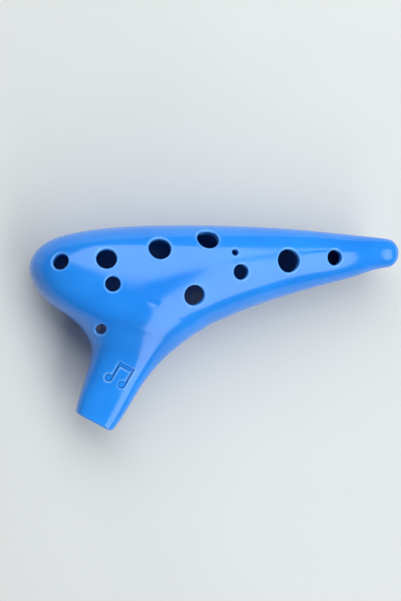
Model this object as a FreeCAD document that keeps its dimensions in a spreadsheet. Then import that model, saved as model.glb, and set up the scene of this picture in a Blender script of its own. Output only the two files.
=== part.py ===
import FreeCAD, Part
import math
import os

# Twelve-hole transverse ocarina, moulded in two halves that meet at a level seam,
# with a separate windway block in the mouthpiece.
#
# Frame, in millimetres: +X runs from the round end to the tail, -Y is the player's side,
# +Z is the side with the ten finger holes. The ocarina lies on its back, and the origin is
# the centre of its footprint, level with its lowest point.
# Mouthpiece sizes use a second frame: its origin is the middle of the mouth end at the seam,
# its Y runs up the windway into the body, and its X runs across to the right.

Vector = FreeCAD.Vector

SIZES = {
    "seam_height": 16.3,
    "wall": 2.2,
    "tongue_height": 1.2,
    "tongue_outer": 0.8,
    "tongue_inner": 1.6,
    "ring_points": 32,
    "ring_start": 202.5,
    "top_fullness": 2.4,
    "belly_fullness": 3.0,
    "mouth_fullness": 0.9,
    "fullness_fade": 24.0,
    # round end of the tail, and the small flat left at its very tip
    "tail_x": 64.7,
    "tail_y": 28.2,
    "tail_radius": 5.7,
    "tail_steps": 4,
    "tail_flat": 0.9,
    # mouthpiece frame
    "mouth_x": -47.4,
    "mouth_y": -34.6,
    "mouth_turn": -28.909,
    "mouth_overrun": 1.0,
    # windway block and its channel, from the mouth end to the window
    "block_length": 33.0,
    "block_mouth_width": 11.0,
    "block_inner_width": 13.0,
    "block_top": 3.4,
    "channel_mouth_width": 9.5,
    "channel_mouth_floor": -1.9,
    "channel_mouth_height": 2.8,
    "channel_inner_width": 9.0,
    "channel_inner_floor": -8.6,
    "channel_inner_height": 1.3,
    "relief_start": 3.0,
    "bulkhead": 2.4,
    # sound window and the ramp beyond its labium edge
    "window_length": 5.5,
    "window_width": 9.0,
    "cheek": 2.6,
    "ramp_length": 13.0,
    "ramp_edge_depth": -9.5,
    "ramp_end_depth": -18.0,
    "ramp_end_width": 10.5,
    "labium_end_height": -13.8,
    # holes; hole_lean is the share of the surface's slope that a finger hole's axis takes
    "hole_lean": 0.5,
    "strap_x": -45.5,
    "strap_y": -0.2,
    "strap_diameter": 3.6,
    "strap_post_diameter": 7.8,
    "hole_rounding": 0.5,
    "mouth_rounding": 1.2,
    # engraved mark on the mouthpiece
    "mark_depth": 0.5,
    "mark_along": 20.5,
    "mark_length": 7.0,
    "mark_stroke": 0.9,
    "mark_beam": 1.5,
    "mark_head": 2.9,
    "mark_span": 5.4,
}

# Cross-sections from the mouth end, round the shoulder and along the barrel: where the seam
# meets the left and right flanks, the rise above the seam and the drop below it.
SECTION_FIELDS = ("left_x", "left_y", "right_x", "right_y", "rise", "drop")
SECTIONS = {
    "mouth_end": (-53.9, -31.0, -40.8, -38.2, 5.8, 5.6),
    "mouthpiece": (-51.3, -21.8, -35.1, -30.3, 7.0, 6.6),
    "neck": (-48.8, -13.7, -29.5, -21.3, 8.7, 7.9),
    "throat": (-48.2, -7.1, -23.9, -14.2, 11.0, 9.8),
    "window_front": (-50.3, -2.5, -19.0, -9.5, 13.7, 12.1),
    "window_back": (-54.9, 2.8, -14.8, -6.2, 16.3, 14.4),
    "shoulder": (-61.7, 7.7, -12.0, -4.1, 18.5, 16.4),
    "round_low": (-67.8, 13.9, -9.4, -2.4, 20.1, 17.0),
    "round_side": (-70.5, 23.0, -6.7, -0.8, 21.0, 17.0),
    "round_high": (-66.5, 29.6, -3.8, 1.0, 21.0, 17.1),
    "barrel_start": (-57.2, 34.0, -0.1, 2.5, 20.7, 17.1),
    "barrel_wide": (-39.9, 36.8, 4.8, 4.6, 19.9, 17.0),
    "barrel_middle": (-17.1, 37.9, 12.6, 7.6, 18.2, 15.9),
    "barrel_narrow": (8.5, 37.8, 24.7, 11.5, 15.3, 13.3),
    "tail_start": (31.4, 36.8, 39.3, 15.6, 12.0, 10.5),
    "tail_narrow": (50.4, 35.2, 54.2, 19.6, 8.9, 8.0),
}

# Finger holes in the top: x, y and diameter. Each is drilled part way between straight down
# and square to the surface. The thumb holes in the bottom are drilled straight.
FINGER_HOLES = {
    "left_little": (-60.0, 23.6, 5.8),
    "left_ring": (-44.1, 24.6, 7.2),
    "left_sub": (-42.0, 15.7, 5.3),
    "left_middle": (-25.1, 28.4, 8.0),
    "left_index": (-7.2, 32.2, 8.0),
    "right_sub": (2.5, 27.3, 2.3),
    "right_middle": (4.5, 20.2, 5.5),
    "right_index": (-12.8, 11.7, 7.4),
    "right_ring": (23.1, 24.5, 8.5),
    "right_little": (41.6, 25.9, 5.7),
}
THUMB_HOLES = {
    "left_thumb": (-12.9, 23.5, 9.0),
    "right_thumb": (3.5, 16.0, 9.5),
}
HOLE_FIELDS = ("x", "y", "diameter")
REACH = 90.0


def fill_sheet(doc):
    """The driving dimensions, one row each: a name, then the value under the same alias."""
    values = dict(SIZES)
    for names, rows in (
        (SECTION_FIELDS, SECTIONS),
        (HOLE_FIELDS, FINGER_HOLES),
        (HOLE_FIELDS, THUMB_HOLES),
    ):
        for label, row in rows.items():
            for field, value in zip(names, row):
                values[f"{label}_{field}"] = value
    sheet = doc.addObject("Spreadsheet::Sheet", "Sizes")
    for line, (alias, value) in enumerate(values.items(), start=1):
        sheet.set(f"A{line}", alias)
        sheet.set(f"B{line}", str(value))
        sheet.setAlias(f"B{line}", alias)
    doc.recompute()
    return sheet


def bind(thing, **expressions):
    """Tie properties of a document object to expressions over the sheet."""
    for prop, expression in expressions.items():
        thing.setExpression(prop.replace("__", "."), expression)


def full_sections(sheet):
    """Left point, right point, rise and drop of every section named in the sheet."""
    sections = []
    for label in SECTIONS:
        left_x, left_y, right_x, right_y, rise, drop = (
            sheet.get(f"{label}_{field}") for field in SECTION_FIELDS
        )
        sections.append((Vector(left_x, left_y, 0), Vector(right_x, right_y, 0), rise, drop))
    return sections


def tail_sections(sheet, inset):
    """Sections of the tail's round end, shrinking to the small flat that closes it."""
    centre = Vector(sheet.tail_x, sheet.tail_y, 0)
    radius = sheet.tail_radius - inset
    steps = int(sheet.tail_steps)
    last = math.degrees(math.asin(sheet.tail_flat / radius))
    sections = []
    for step in range(steps + 1):
        angle = math.radians(90 + (last - 90) * step / steps)
        middle = centre + Vector(radius * math.cos(angle), 0, 0)
        half = Vector(0, radius * math.sin(angle), 0)
        sections.append((middle + half, middle - half, half.y, half.y))
    return sections


def section_places(sections):
    """Distance along the body at each section, used as the skin's lengthwise parameter."""
    places = [0.0]
    for before, after in zip(sections, sections[1:]):
        flanks = (after[0] - before[0]).Length + (after[1] - before[1]).Length
        places.append(places[-1] + flanks / 2 + abs(after[2] - before[2]))
    return places


def moved_flank(points, places, inset, side):
    """Points of one flank moved square to it; side is +1 for the left flank, -1 for the right."""
    flank = Part.BSplineCurve()
    flank.interpolate(Points=points, Parameters=places)
    up = Vector(0, 0, side)
    return [
        point + flank.getD1(place)[1].cross(up).normalize() * inset
        for point, place in zip(points, places)
    ]


def inset_sections(sheet, inset):
    """All sections drawn in by inset, and their places along the body."""
    outer = full_sections(sheet) + tail_sections(sheet, 0)
    places = section_places(outer)
    lefts = moved_flank([row[0] for row in outer], places, inset, 1)
    rights = moved_flank([row[1] for row in outer], places, inset, -1)
    drawn = [
        (left, right, rise - inset, drop - inset)
        for left, right, (_, _, rise, drop) in zip(lefts, rights, outer)
    ]
    return drawn[: len(SECTIONS)] + tail_sections(sheet, inset), places


def ring(section, place, sheet):
    """Points round one section: a superellipse, fuller at the mouth and rounder in the body.

    The first point is clear of the seam and of every hole, because the skin's own joint is there.
    """
    left, right, rise, drop = section
    middle = (left + right) * 0.5
    across = (right - left) * 0.5
    mouth_fullness = sheet.mouth_fullness * math.exp(-place / sheet.fullness_fade)
    count = int(sheet.ring_points)
    points = []
    for step in range(count):
        angle = math.radians(sheet.ring_start + 360 * step / count)
        cosine = math.cos(angle)
        sine = math.sin(angle)
        fullness = mouth_fullness + (sheet.top_fullness if sine >= 0 else sheet.belly_fullness)
        reach = (abs(cosine) ** fullness + abs(sine) ** fullness) ** (-1 / fullness)
        height = rise if sine >= 0 else drop
        points.append(middle + across * (reach * cosine) + Vector(0, 0, height * reach * sine))
    return points


def skin(rings, places):
    """One smooth tube through all rings."""
    count = len(rings[0])
    turns = [step / count for step in range(count + 1)]
    curves = []
    for points in rings:
        curve = Part.BSplineCurve()
        curve.interpolate(Points=points, PeriodicFlag=True, Parameters=turns)
        curves.append(curve)
    lengthwise = []
    for column in zip(*(curve.getPoles() for curve in curves)):
        curve = Part.BSplineCurve()
        curve.interpolate(Points=list(column), Parameters=places)
        lengthwise.append(curve)
    surface = Part.BSplineSurface()
    surface.buildFromPolesMultsKnots(
        [list(row) for row in zip(*(curve.getPoles() for curve in lengthwise))],
        lengthwise[0].getMultiplicities(),
        curves[0].getMultiplicities(),
        lengthwise[0].getKnots(),
        curves[0].getKnots(),
        False,
        True,
        lengthwise[0].Degree,
        curves[0].Degree,
    )
    return surface.toShape()


def end_cap(rim, middle):
    """The flat face inside a rim, facing away from the middle of the body."""
    cap = Part.Face(Part.Wire(rim))
    if cap.normalAt(0, 0).dot(rim.CenterOfMass - middle) < 0:
        cap.reverse()
    return cap


def body_form(doc, sheet, name, inset):
    """The solid ocarina shape, drawn in by inset everywhere except at the flat mouth end."""
    sections, places = inset_sections(sheet, inset)
    tube = skin([ring(section, place, sheet) for section, place in zip(sections, places)], places)
    caps = [end_cap(edge, tube.CenterOfMass) for edge in tube.Edges if edge.isClosed()]
    feature = doc.addObject("Part::Feature", name)
    feature.Shape = Part.Solid(Part.Shell([tube] + caps))
    feature.Placement = FreeCAD.Placement(Vector(0, 0, sheet.seam_height), FreeCAD.Rotation())
    return feature


def boolean(doc, kind, name, base, tool):
    """A Part::Cut, Part::Fuse or Part::Common of two document objects."""
    result = doc.addObject(f"Part::{kind}", name)
    result.Base = base
    result.Tool = tool
    result.Refine = False
    return result


def in_mouthpiece_frame(thing):
    """Place a box or wedge in the mouthpiece's frame."""
    thing.Placement = FreeCAD.Placement(Vector(0, 0, 0), FreeCAD.Rotation(Vector(0, 0, 1), 1))
    thing.setExpression("Placement.Base.x", "Sizes.mouth_x")
    thing.setExpression("Placement.Base.y", "Sizes.mouth_y")
    thing.setExpression("Placement.Base.z", "Sizes.seam_height")
    thing.setExpression("Placement.Rotation.Angle", "Sizes.mouth_turn")


def wedge(doc, name, near, far, start, end, offset="0"):
    """A block along the windway, from start to end and offset across the mouthpiece.

    near and far give its width, floor and top at its two ends, as expressions.
    """
    block = doc.addObject("Part::Wedge", name)
    in_mouthpiece_frame(block)
    bind(block, Ymin=start, Ymax=end)
    bind(block, Xmin=f"{offset} - ({near[0]}) / 2", Xmax=f"{offset} + ({near[0]}) / 2")
    bind(block, X2min=f"{offset} - ({far[0]}) / 2", X2max=f"{offset} + ({far[0]}) / 2")
    bind(block, Zmin=near[1], Zmax=near[2], Z2min=far[1], Z2max=far[2])
    return block


def layer(doc, name, floor, top):
    """A large box between two heights."""
    box = doc.addObject("Part::Box", name)
    box.Length = 2 * REACH
    box.Width = 2 * REACH
    box.Placement = FreeCAD.Placement(Vector(-REACH, -REACH, 0), FreeCAD.Rotation())
    bind(box, Placement__Base__z=floor, Height=f"{top} - ({floor})")
    return box


def upright_cylinder(doc, name, x, y, radius):
    """A tall cylinder parallel to Z, its middle at the seam."""
    cylinder = doc.addObject("Part::Cylinder", name)
    cylinder.Height = REACH
    bind(
        cylinder,
        Radius=radius,
        Placement__Base__x=x,
        Placement__Base__y=y,
        Placement__Base__z=f"Sizes.seam_height - {REACH / 2}",
    )
    return cylinder


def surface_point(form, x, y):
    """The point of the body's top over x, y and the outward normal there."""
    line = Part.makeLine(Vector(x, y, 0), Vector(x, y, REACH))
    top = max(form.Shape.common(line).Vertexes, key=lambda vertex: vertex.Z).Point
    face = max(form.Shape.Faces, key=lambda item: item.Area)
    normal = face.normalAt(*face.Surface.parameter(top))
    return top, normal if normal.z > 0 else -normal


def finger_hole(doc, sheet, form, label):
    """The drill for one finger hole, from just above the seam outwards."""
    drill = doc.addObject("Part::Cylinder", f"drill_{label}")
    point, normal = surface_point(form, sheet.get(f"{label}_x"), sheet.get(f"{label}_y"))
    lean = sheet.hole_lean
    axis = Vector(normal.x * lean, normal.y * lean, normal.z).normalize()
    depth = 4 * sheet.wall
    drill.Placement = FreeCAD.Placement(
        point - axis * depth, FreeCAD.Rotation(Vector(0, 0, 1), axis)
    )
    drill.Height = 2 * depth
    bind(drill, Radius=f"Sizes.{label}_diameter / 2")
    return drill


def thumb_hole(doc, label):
    """The drill for one thumb hole, from the seam down."""
    drill = doc.addObject("Part::Cylinder", f"drill_{label}")
    bind(
        drill,
        Radius=f"Sizes.{label}_diameter / 2",
        Height="Sizes.seam_height - Sizes.wall",
        Placement__Base__x=f"Sizes.{label}_x",
        Placement__Base__y=f"Sizes.{label}_y",
        Placement__Base__z="-Sizes.wall",
    )
    return drill


def slab(doc, name, floor, top, start, end):
    """A full-width slice of the mouthpiece between two heights and two places on the windway."""
    profile = (f"{2 * REACH}", floor, top)
    return wedge(doc, name, profile, profile, start, end)


def strap_post(doc):
    """The solid post that keeps the strap hole out of the air chamber."""
    return upright_cylinder(
        doc, "strap_post", "Sizes.strap_x", "Sizes.strap_y", "Sizes.strap_post_diameter / 2"
    )


def strap_hole(doc):
    """The drill of the strap hole, right through both shells."""
    return upright_cylinder(
        doc, "strap_drill", "Sizes.strap_x", "Sizes.strap_y", "Sizes.strap_diameter / 2"
    )


def chamber_space(doc, inner, post):
    """The air chamber, behind the windway block and clear of the strap post."""
    ahead = slab(
        doc, "ahead_of_chamber", f"-{REACH}", f"{REACH}", f"-{REACH}", "Sizes.block_length"
    )
    behind = boolean(doc, "Cut", "behind_block", inner, ahead)
    return boolean(doc, "Cut", "chamber_space", behind, post), ahead


def relief_space(doc, inner, post):
    """The hollow over the windway block that keeps the top shell's wall even."""
    over = slab(
        doc,
        "over_block",
        "0",
        f"{REACH}",
        "Sizes.relief_start",
        "Sizes.block_length - Sizes.bulkhead",
    )
    hollow = boolean(doc, "Common", "relief_hollow", inner, over)
    return boolean(doc, "Cut", "relief_space", hollow, post)


def seam_plate(doc, sheet, name, inset):
    """A plate over the seam, its edge a given distance inside the outline."""
    sections, places = inset_sections(sheet, inset)
    flanks = []
    for side in (0, 1):
        curve = Part.BSplineCurve()
        curve.interpolate(Points=[section[side] for section in sections], Parameters=places)
        flanks.append(curve.toShape())
    ends = [Part.makeLine(section[0], section[1]) for section in (sections[0], sections[-1])]
    outline = doc.addObject("Part::Feature", f"{name}_outline")
    outline.Shape = Part.Face(Part.Wire(Part.__sortEdges__(flanks + ends)))
    outline.Placement = FreeCAD.Placement(Vector(0, 0, sheet.seam_height), FreeCAD.Rotation())
    plate = doc.addObject("Part::Extrusion", name)
    plate.Base = outline
    plate.DirMode = "Custom"
    plate.Dir = Vector(0, 0, 1)
    plate.Solid = True
    bind(plate, LengthFwd="Sizes.tongue_height")
    return plate


def tongue(doc, sheet, ahead):
    """The bottom shell's tongue, which runs round the chamber in the middle of the wall."""
    outside = seam_plate(doc, sheet, "tongue_outside", sheet.tongue_outer)
    inside = seam_plate(doc, sheet, "tongue_inside", sheet.tongue_inner)
    behind = boolean(doc, "Cut", "tongue_plate", outside, ahead)
    return boolean(doc, "Cut", "tongue", behind, inside)


def block_space(doc):
    """The room the windway block fills, open at the mouth end."""
    return wedge(
        doc,
        "block_space",
        ("Sizes.block_mouth_width", "Sizes.channel_mouth_floor", "Sizes.block_top"),
        ("Sizes.block_inner_width", "Sizes.channel_inner_floor", "Sizes.block_top"),
        "-Sizes.mouth_overrun",
        "Sizes.block_length",
    )


def windway_block(doc, outer, space):
    """The block: it fills its space up to the mouth end, and the channel runs along its floor."""
    body = boolean(doc, "Common", "block_body", space, outer)
    channel = wedge(
        doc,
        "channel",
        (
            "Sizes.channel_mouth_width",
            "Sizes.channel_mouth_floor",
            "Sizes.channel_mouth_floor + Sizes.channel_mouth_height",
        ),
        (
            "Sizes.channel_inner_width",
            "Sizes.channel_inner_floor",
            "Sizes.channel_inner_floor + Sizes.channel_inner_height",
        ),
        "-Sizes.mouth_overrun",
        "Sizes.block_length",
    )
    return boolean(doc, "Cut", "block_with_channel", body, channel)


def labium(doc, outer):
    """The thick part of the bottom wall round the window: its two cheeks and the labium."""
    width = "Sizes.window_width + 2 * Sizes.cheek"
    roof = "Sizes.channel_inner_floor + Sizes.channel_inner_height"
    block = wedge(
        doc,
        "labium_block",
        (width, f"-{REACH}", roof),
        (width, f"-{REACH}", "Sizes.labium_end_height"),
        "Sizes.block_length",
        "Sizes.block_length + Sizes.window_length + Sizes.ramp_length",
    )
    return boolean(doc, "Common", "labium", block, outer)


def window_cuts(doc):
    """The sound window through the bottom wall, and the ramp that leaves its far edge sharp."""
    through = ("Sizes.window_width", f"-{REACH}", "0")
    window = wedge(
        doc,
        "window",
        through,
        through,
        "Sizes.block_length",
        "Sizes.block_length + Sizes.window_length",
    )
    ramp = wedge(
        doc,
        "ramp",
        ("Sizes.window_width", f"-{REACH}", "Sizes.ramp_edge_depth"),
        ("Sizes.ramp_end_width", f"-{REACH}", "Sizes.ramp_end_depth"),
        "Sizes.block_length + Sizes.window_length",
        "Sizes.block_length + Sizes.window_length + Sizes.ramp_length",
    )
    return [window, ramp]


def engraved_mark(doc, shallow):
    """A plain pair of beamed notes on the mouthpiece, cut down to the shallow form."""
    stroke = ("Sizes.mark_stroke", "0", f"{REACH}")
    low = "Sizes.mark_along - Sizes.mark_length / 2"
    high = "Sizes.mark_along + Sizes.mark_length / 2"
    beam = ("Sizes.mark_span + Sizes.mark_stroke", "0", f"{REACH}")
    strokes = [wedge(doc, "mark_beam", beam, beam, f"{high} - Sizes.mark_beam", high)]
    for side in (-1, 1):
        number = (side + 3) // 2
        stem_x = f"{side} * Sizes.mark_span / 2"
        strokes.append(wedge(doc, f"mark_stem_{number}", stroke, stroke, low, high, stem_x))
        head = doc.addObject("Part::Cylinder", f"mark_head_{number}")
        in_mouthpiece_frame(head)
        across = f"({stem_x} - Sizes.mark_head / 2 + Sizes.mark_stroke / 2)"
        bind(
            head,
            Radius="Sizes.mark_head / 2",
            Height=f"{REACH}",
            Placement__Base__x=(
                f"Sizes.mouth_x + {across} * cos(Sizes.mouth_turn * 1deg)"
                f" - ({low}) * sin(Sizes.mouth_turn * 1deg)"
            ),
            Placement__Base__y=(
                f"Sizes.mouth_y + {across} * sin(Sizes.mouth_turn * 1deg)"
                f" + ({low}) * cos(Sizes.mouth_turn * 1deg)"
            ),
        )
        strokes.append(head)
    notes = doc.addObject("Part::MultiFuse", "mark_notes")
    notes.Shapes = strokes
    return boolean(doc, "Cut", "mark", notes, shallow)


def rim_edges(base, outer, wanted):
    """Numbers of the outer skin's edges that pass the test wanted(edge, neighbouring faces)."""
    skin_face = max(outer.Shape.Faces, key=lambda face: face.Area)
    numbers = []
    for number, edge in enumerate(base.Shape.Edges, start=1):
        if edge.Degenerated:
            continue
        middle = edge.valueAt((edge.FirstParameter + edge.LastParameter) / 2)
        if skin_face.distToShape(Part.Vertex(middle))[0] > 0.01:
            continue
        if wanted(edge, base.Shape.ancestorsOfType(edge, Part.Face)):
            numbers.append(number)
    return numbers


def on_hole(edge, faces):
    """True for the rim of a drilled hole."""
    return any(isinstance(face.Surface, Part.Cylinder) for face in faces)


def on_mouth_end(sheet):
    """A test for the rim of the flat mouth end."""
    origin = Vector(sheet.mouth_x, sheet.mouth_y, 0)
    up_windway = FreeCAD.Rotation(Vector(0, 0, 1), sheet.mouth_turn).multVec(Vector(0, 1, 0))

    def test(edge, faces):
        level = all(abs(end.Z - sheet.seam_height) < 0.01 for end in edge.Vertexes)
        straight = isinstance(edge.Curve, Part.Line)
        along = (edge.CenterOfMass - origin).dot(up_windway)
        return abs(along) < 0.05 and not (level and straight)

    return test


def rounded(doc, name, base, outer, sheet):
    """Round the rims of the holes and of the mouth end."""
    doc.recompute()
    edges = [(number, sheet.hole_rounding) for number in rim_edges(base, outer, on_hole)]
    ends = rim_edges(base, outer, on_mouth_end(sheet))
    edges += [(number, sheet.mouth_rounding) for number in ends]
    result = doc.addObject("Part::Fillet", name)
    result.Base = base
    result.Edges = [(number, radius, radius) for number, radius in edges]
    return result


def cut_all(doc, name, base, tools):
    """The base with every tool cut from it, one after another."""
    for count, tool in enumerate(tools, start=1):
        base = boolean(doc, "Cut", f"{name}_{count}", base, tool)
    return base


def top_shell(doc, sheet, outer, hollows, strap, mark):
    """The upper half: ten finger holes and the mark, then the hollows and the tongue's groove."""
    solid = boolean(doc, "Common", "top_half", outer, layer(doc, "above_seam", "Sizes.seam_height", f"{REACH}"))
    drills = [finger_hole(doc, sheet, outer, label) for label in FINGER_HOLES]
    drilled = cut_all(doc, "top_drilled", solid, [strap] + drills)
    smooth = rounded(doc, "top_rounded", drilled, outer, sheet)
    return cut_all(doc, "top_hollowed", smooth, hollows + [mark])


def bottom_shell(doc, sheet, outer, hollows, strap, ring):
    """The lower half, flat where it lies: thumb holes, chamber, window and ramp, then tongue."""
    solid = boolean(doc, "Common", "bottom_half", outer, layer(doc, "below_seam", f"-{REACH}", "Sizes.seam_height"))
    drills = [thumb_hole(doc, label) for label in THUMB_HOLES]
    drilled = cut_all(doc, "bottom_drilled", solid, [strap] + drills)
    smooth = rounded(doc, "bottom_rounded", drilled, outer, sheet)
    hollowed = cut_all(doc, "bottom_hollowed", smooth, hollows)
    thick = boolean(doc, "Fuse", "with_labium", hollowed, labium(doc, outer))
    under = layer(doc, "under_flat", f"-{REACH}", "0")
    voiced = cut_all(doc, "voiced", thick, window_cuts(doc) + [under])
    return boolean(doc, "Fuse", "with_tongue", voiced, ring)


def check_document(doc, pieces):
    """Stop if any object failed to build or any piece isn't one sound solid."""
    doc.recompute()
    for thing in doc.Objects:
        if "Invalid" in thing.State or "Error" in thing.State:
            raise RuntimeError(f"{thing.Label} failed: {thing.State}")
    for piece in pieces:
        shape = piece.Shape
        if shape.isNull() or not shape.isValid() or len(shape.Solids) != 1:
            raise RuntimeError(f"{piece.Label} isn't one valid solid")


def main():
    doc = FreeCAD.newDocument("Ocarina")
    sheet = fill_sheet(doc)
    outer = body_form(doc, sheet, "outer_form", 0)
    inner = body_form(doc, sheet, "inner_form", sheet.wall)
    post = strap_post(doc)
    strap = strap_hole(doc)
    chamber, ahead = chamber_space(doc, inner, post)
    relief = relief_space(doc, inner, post)
    space = block_space(doc)
    ring = tongue(doc, sheet, ahead)
    mark = engraved_mark(doc, body_form(doc, sheet, "mark_floor", sheet.mark_depth))
    pieces = {
        "top_shell": top_shell(doc, sheet, outer, [chamber, relief, space, ring], strap, mark),
        "bottom_shell": bottom_shell(doc, sheet, outer, [chamber, space], strap, ring),
        "windway_block": windway_block(doc, outer, space),
    }
    for label, piece in pieces.items():
        piece.Label = label
    check_document(doc, pieces.values())
    os.makedirs("parts", exist_ok=True)
    for piece in pieces.values():
        piece.Shape.exportStep(f"parts/{piece.Label}.step")
        print(piece.Label, round(piece.Shape.Volume), piece.Shape.BoundBox)


main()
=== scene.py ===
import math

import bpy
import numpy as np
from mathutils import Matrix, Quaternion, Vector
from mathutils.kdtree import KDTree


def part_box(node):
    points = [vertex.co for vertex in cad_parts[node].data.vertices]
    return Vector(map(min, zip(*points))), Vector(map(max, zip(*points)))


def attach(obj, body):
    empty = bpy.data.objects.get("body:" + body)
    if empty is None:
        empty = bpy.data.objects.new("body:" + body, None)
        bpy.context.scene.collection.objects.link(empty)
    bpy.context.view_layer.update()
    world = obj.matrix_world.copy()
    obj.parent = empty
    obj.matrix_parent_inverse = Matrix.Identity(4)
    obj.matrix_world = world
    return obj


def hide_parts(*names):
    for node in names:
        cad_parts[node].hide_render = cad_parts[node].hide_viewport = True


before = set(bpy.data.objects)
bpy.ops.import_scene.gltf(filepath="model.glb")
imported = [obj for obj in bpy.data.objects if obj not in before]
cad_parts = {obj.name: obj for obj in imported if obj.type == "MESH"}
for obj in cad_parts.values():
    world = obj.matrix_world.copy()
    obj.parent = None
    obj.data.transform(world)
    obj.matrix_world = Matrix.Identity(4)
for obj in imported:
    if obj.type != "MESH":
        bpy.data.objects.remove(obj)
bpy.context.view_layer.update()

# Looks of a moulded plastic ocarina that lies on its back on a pale studio floor.
# Lengths are in metres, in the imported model's frame: +X to the tail, +Z the finger-hole side.

MM = 0.001
SEAM_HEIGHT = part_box("top_shell")[0].z

# Smoothing of the shells' normals
FIT_NEIGHBOURS = 18
FIT_MIN_VERTICES = 400
FIT_SAME_SIDE = math.radians(40)
FIT_FALLOFF = 2
FIT_STEADY = 1e-6
TANGENT_ANGLE = math.radians(25)
SAME_PLACE = 1e-6
INSIDE_LEAN = 0.2
NEAR_AXIS = 0.8
TINY = 1e-12

# Camera: what it aims at, how far off it is and how it leans towards the round end
AIM = Vector((-7.3 * MM, 9.9 * MM, SEAM_HEIGHT))
DISTANCE = 0.38
LEAN = math.radians(10)
SENSOR = 36.0
FRAME_HEIGHT = 0.2254

# Studio: the lamps' distance and tint, the light all round and the floor's half width
LAMP_DISTANCE = 1.0
LAMP_TINT = (0.95, 1.0, 1.0)
AMBIENT = 0.15
FLOOR_HALF = 1.5

# Plastic: how far the painted crevice shade and the painted rim highlight reach, and the parting line's
# core, edge and the band by it kept clear of rim highlight and rubbing
CREVICE_SHADE_REACH = 1.2 * MM
RIM_REACH = 1.0 * MM
SEAM_CORE = 0.12 * MM
SEAM_EDGE = 0.22 * MM
RIM_GLINT_AND_WEAR_START = 1.1 * MM
RIM_GLINT_AND_WEAR_FULL = 1.6 * MM
BUMP_HEIGHT = 0.06 * MM


def mesh_arrays(mesh):
    """Vertex positions, vertex normals and the triangles of a mesh, as arrays."""
    count = len(mesh.vertices)
    places = np.empty(count * 3)
    mesh.vertices.foreach_get("co", places)
    corners = np.empty(len(mesh.loops), int)
    mesh.loops.foreach_get("vertex_index", corners)
    corner_normals = np.empty(len(mesh.loops) * 3)
    mesh.corner_normals.foreach_get("vector", corner_normals)
    normals = np.zeros((count, 3))
    np.add.at(normals, corners, corner_normals.reshape(-1, 3))
    normals /= np.maximum(np.linalg.norm(normals, axis=1), TINY)[:, None]
    return places.reshape(-1, 3), normals, corners.reshape(-1, 3)


def islands(count, triangles):
    """A number for each vertex that is the same all over its connected island of triangles."""
    label = np.arange(count)
    while True:
        lowest = label[triangles].min(axis=1)
        spread = label.copy()
        np.minimum.at(spread, triangles.ravel(), np.repeat(lowest, 3))
        spread = spread[spread]
        if (spread == label).all():
            return label
        label = spread


def fitted_normals(places, normals):
    """Normals of a smooth surface through the points: a quadratic is fitted round each one."""
    tree = KDTree(len(places))
    for number, place in enumerate(places):
        tree.insert(place, number)
    tree.balance()
    near = np.array([[hit[1] for hit in tree.find_n(place, FIT_NEIGHBOURS)] for place in places])
    across = np.cross(normals, np.where(np.abs(normals[:, :1]) < NEAR_AXIS, (1, 0, 0), (0, 1, 0)))
    across /= np.linalg.norm(across, axis=1)[:, None]
    along = np.cross(normals, across)
    offset = places[near] - places[:, None]
    size = np.linalg.norm(offset, axis=2).max(axis=1)[:, None]
    u, v, w = (np.einsum("ijk,ik->ij", offset, axis) / size for axis in (across, along, normals))
    facing = np.einsum("ijk,ik->ij", normals[near], normals) > math.cos(FIT_SAME_SIDE)
    weight = facing * np.exp(-FIT_FALLOFF * (u * u + v * v))
    terms = np.stack([u, v, u * u, u * v, v * v], axis=2)
    left = np.einsum("ij,ijk,ijl->ikl", weight, terms, terms) + FIT_STEADY * np.eye(5)
    right = np.einsum("ij,ijk,ij->ik", weight, terms, w)
    slopes = np.linalg.solve(left, right[:, :, None])[:, :2, 0]
    fitted = normals - across * slopes[:, :1] - along * slopes[:, 1:]
    return fitted / np.linalg.norm(fitted, axis=1)[:, None]


def smooth_normals(mesh):
    """A CAD mesh with corner normals fitted on its large faces and carried over tangent edges.

    Also gives the mean upward lean of the CAD face that each triangle belongs to.
    """
    places, normals, triangles = mesh_arrays(mesh)
    label = islands(len(places), triangles)
    a, b, c = (places[triangles[:, corner]] for corner in range(3))
    facing = np.cross(b - a, c - a) / 2
    face = label[triangles[:, 0]]
    areas = np.zeros(len(places))
    np.add.at(areas, face, np.linalg.norm(facing, axis=1))
    upward = np.zeros(len(places))
    np.add.at(upward, face, facing[:, 2])
    lean = upward[face] / areas[face]
    for number in np.unique(label):
        members = np.flatnonzero(label == number)
        if len(members) >= FIT_MIN_VERTICES:
            normals[members] = fitted_normals(places[members], normals[members])
    keys = np.round(places / SAME_PLACE).astype(np.int64)
    _, group = np.unique(keys, axis=0, return_inverse=True)
    group = group.ravel()
    order = np.argsort(-areas[label], kind="stable")
    leader = np.full(group.max() + 1, -1)
    for number in order:
        if leader[group[number]] < 0:
            leader[group[number]] = number
    lead = normals[leader[group]]
    tangent = np.einsum("ij,ij->i", lead, normals) > math.cos(TANGENT_ANGLE)
    normals[tangent] = lead[tangent]
    return normals[triangles.ravel()], places[leader], group[triangles], lean


def shell(node, name, outside, skin, inside):
    """A closed copy of a CAD node's mesh whose gloss isn't broken up by its triangles.

    outside is +1 for the upper shell and -1 for the lower one. Faces that look back at the
    seam take the inside material.
    """
    normals, places, triangles, lean = smooth_normals(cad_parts[node].data)
    mesh = bpy.data.meshes.new(name)
    mesh.from_pydata(places.tolist(), [], triangles.tolist())
    mesh.shade_smooth()
    mesh.normals_split_custom_set(normals.tolist())
    mesh.materials.append(skin)
    mesh.materials.append(inside)
    mesh.polygons.foreach_set("material_index", (lean * outside < -INSIDE_LEAN).astype(np.int32))
    piece = bpy.data.objects.new(name, mesh)
    bpy.context.scene.collection.objects.link(piece)
    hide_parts(node)
    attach(piece, "root")
    return piece


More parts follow.
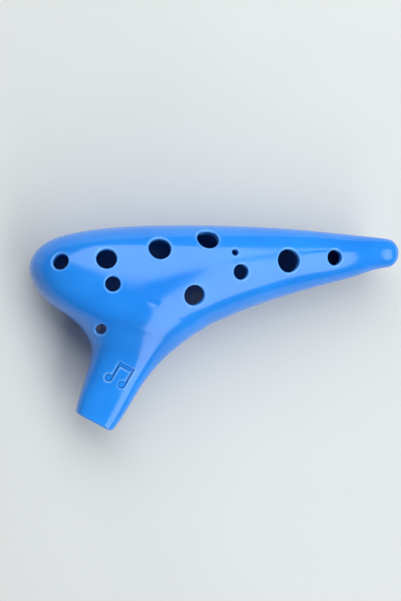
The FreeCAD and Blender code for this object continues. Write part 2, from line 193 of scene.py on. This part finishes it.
class Nodes:
    """A material's node tree, with short calls for making and linking nodes."""

    def __init__(self, name):
        self.material = bpy.data.materials.new(name)
        self.material.use_nodes = True
        self.tree = self.material.node_tree
        self.shader = next(n for n in self.tree.nodes if n.type == "BSDF_PRINCIPLED")

    def add(self, kind, inputs=(), **settings):
        node = self.tree.nodes.new(kind)
        for key, value in settings.items():
            setattr(node, key, value)
        for key, value in dict(inputs).items():
            self.feed(value, node.inputs[key])
        return node

    def feed(self, value, socket):
        if isinstance(value, bpy.types.NodeSocket):
            self.tree.links.new(value, socket)
        else:
            socket.default_value = value

    def noise(self, scale, detail=2.0, roughness=0.5, stretch=(1, 1, 1)):
        """Noise from 0 to 1 over the object's own coordinates."""
        coordinates = self.add("ShaderNodeTexCoord").outputs["Object"]
        mapping = self.add("ShaderNodeMapping", {"Vector": coordinates, "Scale": stretch})
        inputs = {"Vector": mapping.outputs[0], "Scale": scale, "Detail": detail, "Roughness": roughness}
        return self.add("ShaderNodeTexNoise", inputs).outputs["Fac"]

    def spread(self, value, low, high, to_low, to_high):
        """A value from low to high mapped to another range, clamped."""
        inputs = {"Value": value, "From Min": low, "From Max": high, "To Min": to_low, "To Max": to_high}
        return self.add("ShaderNodeMapRange", inputs).outputs["Result"]

    def mix(self, factor, first, second):
        """A blend of two colours."""
        node = self.add("ShaderNodeMix", data_type="RGBA")
        self.feed(factor, node.inputs[0])
        self.feed(first, node.inputs[6])
        self.feed(second, node.inputs[7])
        return node.outputs[2]

    def math(self, operation, first, second=0.0):
        """One arithmetic step; the second value is left out where the operation takes one."""
        return self.add("ShaderNodeMath", {0: first, 1: second}, operation=operation).outputs[0]

    def edges(self, reach):
        """Near 1 on outer edges and rims narrower than the reach, and 0 on smooth surfaces."""
        solid = self.add("ShaderNodeAmbientOcclusion", {"Distance": reach}, samples=8, inside=True)
        return self.spread(solid.outputs["AO"], 0.97, 0.75, 0.0, 1.0)


def linear(red, green, blue):
    """A colour given as 0 to 255 display values, as a shader needs it."""
    return tuple(
        (value / 255 / 12.92 if value <= 10 else ((value / 255 + 0.055) / 1.055) ** 2.4)
        for value in (red, green, blue)
    ) + (1.0,)


def height_off_seam(nodes):
    """How far a point is above or below the seam."""
    place = nodes.add("ShaderNodeSeparateXYZ", {0: nodes.add("ShaderNodeTexCoord").outputs["Object"]})
    return nodes.math("ABSOLUTE", nodes.math("SUBTRACT", place.outputs["Z"], SEAM_HEIGHT))


def crevice_shade_and_seam(nodes, off_seam):
    """How dark a point is: painted shade in crevices and recesses, partly, and the dark parting line
    between the shells, fully.
    """
    # ambient occlusion paints shade into crevices, hole walls and recesses; the seam band is the real
    # dark joint
    crevice = nodes.add("ShaderNodeAmbientOcclusion", {"Distance": CREVICE_SHADE_REACH}, samples=8)
    shade = nodes.spread(crevice.outputs["AO"], 0.35, 0.85, 1.0, 0.0)
    seam = nodes.spread(off_seam, SEAM_CORE, SEAM_EDGE, 1.0, 0.0)
    return nodes.math("MAXIMUM", nodes.math("MULTIPLY", shade, 0.75), seam)


def painted_rim_glint_and_wear(nodes, off_seam):
    """How much painted rim highlight and rubbing a point has: patchy along rims and outer edges, except
    at the seam.
    """
    patches = nodes.spread(nodes.noise(260, 3), 0.35, 0.6, 0.35, 0.75)
    clear_of_seam = nodes.spread(off_seam, RIM_GLINT_AND_WEAR_START, RIM_GLINT_AND_WEAR_FULL, 0.0, 1.0)
    return nodes.math("MULTIPLY", nodes.edges(RIM_REACH), nodes.math("MULTIPLY", patches, clear_of_seam))


def surface_roughness(nodes, gloss, rim_glint_and_wear):
    """Gloss dulled by smudges, a fine grain and rubbed rims."""
    smudge = nodes.spread(nodes.noise(45, 4, 0.65), 0.4, 0.75, 0.0, 1.0)
    grain = nodes.spread(nodes.noise(900, 2), 0.3, 0.7, -0.02, 0.02)
    roughness = nodes.math("ADD", nodes.spread(smudge, 0, 1, gloss, gloss + 0.09), grain)
    return nodes.math("ADD", roughness, nodes.math("MULTIPLY", rim_glint_and_wear, 0.2))


def surface_relief(nodes):
    """Orange peel and hairline scratches."""
    peel = nodes.noise(420, 1.5, 0.4)
    scratches = nodes.spread(nodes.noise(300, 4, 0.7, (0.25, 6, 1)), 0.68, 0.74, 0.0, 1.0)
    relief = nodes.math("SUBTRACT", peel, nodes.math("MULTIPLY", scratches, 0.5))
    inputs = {"Strength": 0.12, "Distance": BUMP_HEIGHT, "Height": relief}
    return nodes.add("ShaderNodeBump", inputs).outputs[0]


def moulded_plastic(name, deep, bright, gloss):
    """Glossy moulded ABS: faint swirls of pigment between two colours, painted shade in crevices with a
    dark parting line, and painted highlights along patchy rubbed rims.
    """
    nodes = Nodes(name)
    off_seam = height_off_seam(nodes)
    rim_glint_and_wear = painted_rim_glint_and_wear(nodes, off_seam)
    swirl = nodes.spread(nodes.noise(28, 3, 0.6, (1, 1.6, 1)), 0.35, 0.68, 0.0, 1.0)
    colour = nodes.mix(swirl, deep, bright)
    # painted shade in crevices and recesses, and the dark parting line
    colour = nodes.mix(crevice_shade_and_seam(nodes, off_seam), colour, linear(6, 44, 104))
    # painted highlight along rims and outer edges, in patches that also read as rubbing
    colour = nodes.mix(rim_glint_and_wear, colour, linear(120, 185, 250))
    nodes.feed(colour, nodes.shader.inputs["Base Color"])
    nodes.feed(surface_roughness(nodes, gloss, rim_glint_and_wear), nodes.shader.inputs["Roughness"])
    nodes.feed(surface_relief(nodes), nodes.shader.inputs["Normal"])
    nodes.feed(1.5, nodes.shader.inputs["IOR"])
    return nodes.material


def paper_floor():
    """Matt off-white studio paper."""
    nodes = Nodes("studio_paper")
    tone = nodes.spread(nodes.noise(6, 3), 0.3, 0.7, 0.0, 1.0)
    colour = nodes.mix(tone, (0.62, 0.62, 0.62, 1), (0.67, 0.67, 0.67, 1))
    nodes.feed(colour, nodes.shader.inputs["Base Color"])
    nodes.feed(0.85, nodes.shader.inputs["Roughness"])
    return nodes.material


def floor():
    """A large flat floor under the ocarina."""
    corners = [
        (-FLOOR_HALF, -FLOOR_HALF, 0),
        (FLOOR_HALF, -FLOOR_HALF, 0),
        (FLOOR_HALF, FLOOR_HALF, 0),
        (-FLOOR_HALF, FLOOR_HALF, 0),
    ]
    mesh = bpy.data.meshes.new("floor")
    mesh.from_pydata(corners, [], [(0, 1, 2, 3)])
    mesh.materials.append(paper_floor())
    piece = bpy.data.objects.new("floor", mesh)
    bpy.context.scene.collection.objects.link(piece)


def camera():
    """The camera, over the finger holes and leaning towards the round end."""
    data = bpy.data.cameras.new("camera")
    data.sensor_width = SENSOR
    data.lens = SENSOR * DISTANCE / FRAME_HEIGHT
    data.clip_start = 0.01
    thing = bpy.data.objects.new("camera", data)
    bpy.context.scene.collection.objects.link(thing)
    thing.location = AIM + Vector((-math.sin(LEAN), 0, math.cos(LEAN))) * DISTANCE
    thing.rotation_euler = (0, -LEAN, 0)
    bpy.context.scene.camera = thing


def softbox(name, azimuth, elevation, roll, width, height, radiance):
    """A rectangular studio lamp that faces the ocarina, rolled about its aim.

    Its radiance is its power over four times its area.
    """
    data = bpy.data.lights.new(name, "AREA")
    data.shape = "RECTANGLE"
    data.size = width
    data.size_y = height
    data.energy = radiance * 4 * width * height
    data.color = LAMP_TINT
    thing = bpy.data.objects.new(name, data)
    bpy.context.scene.collection.objects.link(thing)
    turn = math.radians(azimuth)
    rise = math.radians(elevation)
    away = Vector((math.cos(turn) * math.cos(rise), math.sin(turn) * math.cos(rise), math.sin(rise)))
    thing.location = away * LAMP_DISTANCE + Vector((0, 0, SEAM_HEIGHT))
    upright = away.to_track_quat("Z", "Y")
    thing.rotation_euler = (upright @ Quaternion((0, 0, 1), math.radians(roll))).to_euler()


def studio_light():
    """Dim light all round and two large softboxes with a dark gap overhead."""
    world = bpy.data.worlds.new("studio")
    bpy.context.scene.world = world
    world.use_nodes = True
    background = next(n for n in world.node_tree.nodes if n.type == "BACKGROUND")
    background.inputs["Color"].default_value = (1, 1, 1, 1)
    background.inputs["Strength"].default_value = AMBIENT
    softbox("back_softbox", 91, 50, -45, 1.24, 0.8, 2.4)
    softbox("front_softbox", -45, 47, 36, 2.0, 0.56, 2.6)


def build():
    """The two shells, the block, the floor, the camera and the light."""
    skin = moulded_plastic("shell_plastic", linear(26, 128, 229), linear(36, 140, 240), 0.12)
    # the chamber's copy of the plastic is darker than the skin: painted shade for the unlit inside
    inside = moulded_plastic("shaded_chamber_plastic", linear(18, 92, 178), linear(22, 102, 190), 0.35)
    shell("top_shell", "top_shell_skin", 1, skin, inside)
    shell("bottom_shell", "bottom_shell_skin", -1, skin, inside)
    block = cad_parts["windway_block"]
    block.data.materials.clear()
    block.data.materials.append(
        moulded_plastic("block_plastic", linear(22, 108, 208), linear(30, 122, 222), 0.3)
    )
    floor()
    camera()
    studio_light()
    bpy.context.scene.view_settings.view_transform = "Standard"


build()
